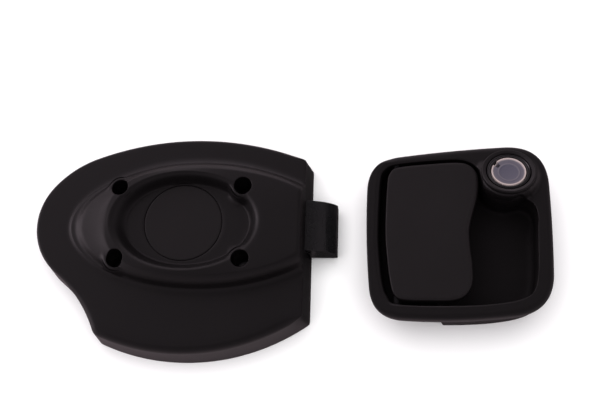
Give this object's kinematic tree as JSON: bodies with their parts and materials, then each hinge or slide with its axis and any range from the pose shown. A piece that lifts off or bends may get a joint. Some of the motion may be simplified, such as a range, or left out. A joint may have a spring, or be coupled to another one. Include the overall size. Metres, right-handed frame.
{
  "type": "garage door lock",
  "caption": "Motorhome garage door lock set: a moulded lock case with a sprung slam bolt, and a flush paddle handle with a leaning lock barrel.",
  "frame": {"origin": "centre of the set's footprint, on the plane of the mounting faces", "axes": "+X from the case to the handle, +Y towards the barrel end of the handle, +Z out of the visible faces"},
  "size_m": [0.3118, 0.1366, 0.0437],
  "materials": {
    "black_moulding": "fine spark-eroded texture, black",
    "black_disc": "smooth satin black",
    "black_bolt": "greased black, slightly wavy",
    "black_collar": "satin black",
    "black_carrier": "gloss black",
    "milky_plug": "milky translucent natural plastic",
    "gasket_rubber": "matt black",
    "zinc_steel": "zinc plated",
    "dark_steel": "black oxide",
    "spring_steel": "drawn wire",
    "brass": "turned"
  },
  "bodies": {
    "fixed": {"case_cover": "black_moulding", "back_plate": "zinc_steel", "plate_screws": "zinc_steel", "screw_sleeves": "zinc_steel", "blanking_disc": "black_disc", "bolt_spring": "spring_steel", "spring_post": "zinc_steel", "bolt_guide": "zinc_steel", "lever_pin": "zinc_steel", "lever_clip": "spring_steel", "handle_frame": "black_moulding", "rim_gasket": "gasket_rubber", "spring_arbor": "zinc_steel", "paddle_spring": "spring_steel", "slide_keeper": "zinc_steel", "paddle_buffers": "gasket_rubber", "barrel_collar": "black_collar", "threaded_inserts": "brass"},
    "bolt": {"latch_bolt": "black_bolt"},
    "lever": {"retractor_lever": "zinc_steel"},
    "paddle": {"paddle": "black_moulding", "hinge_pins": "dark_steel"},
    "slide": {"release_slide": "zinc_steel"},
    "barrel": {"barrel_carrier": "black_carrier", "locking_cam": "zinc_steel", "cam_screw": "zinc_steel"},
    "plug": {"dust_plug": "milky_plug"}
  },
  "joints": [
    {"name": "bolt_slide", "type": "slide", "parent": "fixed", "child": "bolt", "axis": [-1, 0, 0], "range_m": [0, 0.017], "stiffness_N_per_m": 400, "springref_m": -0.02, "deforming": ["bolt_spring"]},
    {"name": "lever_swing", "type": "hinge", "parent": "fixed", "child": "lever", "pos_m": [-0.05309, -0.01705, 0.0186], "axis": [0, 0, 1], "range_deg": [0, 33]},
    {"name": "paddle_hinge", "type": "hinge", "parent": "fixed", "child": "paddle", "pos_m": [0.06623, 0.00405, 0.03], "axis": [0, -1, 0], "range_deg": [0, 35], "stiffness_Nm_per_rad": 0.35, "springref_deg": -20.05, "deforming": ["paddle_spring"]},
    {"name": "slide_push", "type": "slide", "parent": "fixed", "child": "slide", "axis": [1, 0, 0], "range_m": [0, 0.0076]},
    {"name": "barrel_turn", "type": "hinge", "parent": "fixed", "child": "barrel", "pos_m": [0.13163, 0.03955, 0.037], "axis": [0, 0.3173, 0.9483], "range_deg": [0, 85]},
    {"name": "plug_pull", "type": "slide", "parent": "barrel", "child": "plug", "axis": [0, 0.3173, 0.9483], "range_m": [0, 0.016]}
  ],
  "couplings": [
    {"joint": "lever_swing", "follows": "bolt_slide", "rad_per_m": 33.796},
    {"joint": "slide_push", "follows": "paddle_hinge", "m_per_rad": 0.012114}
  ]
}
